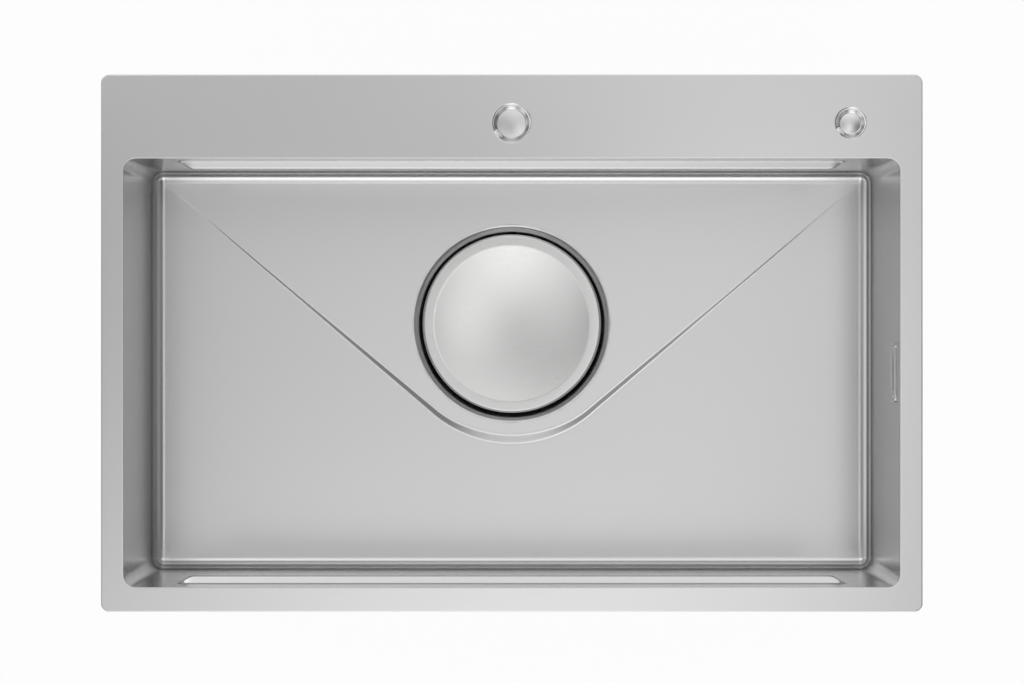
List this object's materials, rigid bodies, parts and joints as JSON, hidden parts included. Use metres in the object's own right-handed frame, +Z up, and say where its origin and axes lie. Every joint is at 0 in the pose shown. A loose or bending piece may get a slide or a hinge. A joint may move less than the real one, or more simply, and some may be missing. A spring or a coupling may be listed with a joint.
{
  "type": "kitchen sink",
  "caption": "Rectangular top-mount steel kitchen sink with one deep bowl, accessory ledges, a creased floor, a large covered drain, a wall overflow and a tap deck.",
  "frame": {"origin": "centre of the rim's outline, on the underside of the rim seal where the sink rests on the worktop", "axes": "+X to the right, +Y to the back where the tap holes are, +Z up out of the bowl"},
  "size_m": [0.7928, 0.51, 0.3292],
  "materials": {
    "deck_steel": "satin, brushed left to right",
    "bowl_steel": "satin, brushed",
    "blank_steel": "smooth mill finish",
    "cover_steel": "fine satin",
    "fitting_steel": "polished",
    "zinc_steel": "bright zinc plate",
    "seal_rubber": "smooth black rubber",
    "rim_foam": "closed-cell foam",
    "damping_rubber": "grained damping mat",
    "waste_plastic": "moulded, semi matt",
    "hose_plastic": "ribbed, semi matt"
  },
  "bodies": {
    "sink": {"deck_plate": "deck_steel", "bowl_shell": "bowl_steel", "tap_hole_blank": "blank_steel", "dispenser_hole_blank": "blank_steel", "tap_stiffener": "zinc_steel", "rim_seal": "rim_foam", "clip_rail_front": "zinc_steel", "clip_rail_back": "zinc_steel", "clip_rail_left": "zinc_steel", "clip_rail_right": "zinc_steel", "clip_straps": "zinc_steel", "floor_pad_left": "damping_rubber", "floor_pad_right": "damping_rubber", "front_wall_pad": "damping_rubber", "back_wall_pad": "damping_rubber", "left_wall_pad": "damping_rubber", "right_wall_pad": "damping_rubber", "drain_flange": "fitting_steel", "flange_seal": "seal_rubber", "body_seal": "seal_rubber", "waste_body": "waste_plastic", "waste_funnel": "waste_plastic", "overflow_plate": "fitting_steel", "overflow_screws": "fitting_steel", "overflow_seal": "seal_rubber", "overflow_elbow": "waste_plastic", "overflow_hose": "hose_plastic", "hose_nuts": "waste_plastic"},
    "basket": {"basket_cup": "fitting_steel"},
    "stopper": {"stopper_post": "fitting_steel", "stopper_plug": "fitting_steel", "stopper_seal": "seal_rubber"},
    "cover": {"cover_plate": "cover_steel", "cover_feet": "seal_rubber"},
    "clamp_1": {"clamp_screw_1": "zinc_steel"},
    "clamp_2": {"clamp_screw_2": "zinc_steel"},
    "clamp_3": {"clamp_screw_3": "zinc_steel"},
    "clamp_4": {"clamp_screw_4": "zinc_steel"},
    "clamp_5": {"clamp_screw_5": "zinc_steel"},
    "clamp_6": {"clamp_screw_6": "zinc_steel"},
    "clamp_7": {"clamp_screw_7": "zinc_steel"},
    "clamp_8": {"clamp_screw_8": "zinc_steel"}
  },
  "joints": [
    {"name": "basket_lift", "type": "slide", "parent": "sink", "child": "basket", "axis": [0, 0, 1], "range_m": [0, 0.29]},
    {"name": "stopper_push", "type": "slide", "parent": "basket", "child": "stopper", "axis": [0, 0, 1], "range_m": [-0.0065, 0]},
    {"name": "cover_lift", "type": "slide", "parent": "basket", "child": "cover", "axis": [0, 0, 1], "range_m": [0, 0.26]},
    {"name": "clamp_1_travel", "type": "slide", "parent": "sink", "child": "clamp_1", "axis": [0, 0, 1], "range_m": [-0.004, 0.022]},
    {"name": "clamp_2_travel", "type": "slide", "parent": "sink", "child": "clamp_2", "axis": [0, 0, 1], "range_m": [-0.004, 0.022]},
    {"name": "clamp_3_travel", "type": "slide", "parent": "sink", "child": "clamp_3", "axis": [0, 0, 1], "range_m": [-0.004, 0.022]},
    {"name": "clamp_4_travel", "type": "slide", "parent": "sink", "child": "clamp_4", "axis": [0, 0, 1], "range_m": [-0.004, 0.022]},
    {"name": "clamp_5_travel", "type": "slide", "parent": "sink", "child": "clamp_5", "axis": [0, 0, 1], "range_m": [-0.004, 0.022]},
    {"name": "clamp_6_travel", "type": "slide", "parent": "sink", "child": "clamp_6", "axis": [0, 0, 1], "range_m": [-0.004, 0.022]},
    {"name": "clamp_7_travel", "type": "slide", "parent": "sink", "child": "clamp_7", "axis": [0, 0, 1], "range_m": [-0.004, 0.022]},
    {"name": "clamp_8_travel", "type": "slide", "parent": "sink", "child": "clamp_8", "axis": [0, 0, 1], "range_m": [-0.004, 0.022]}
  ]
}
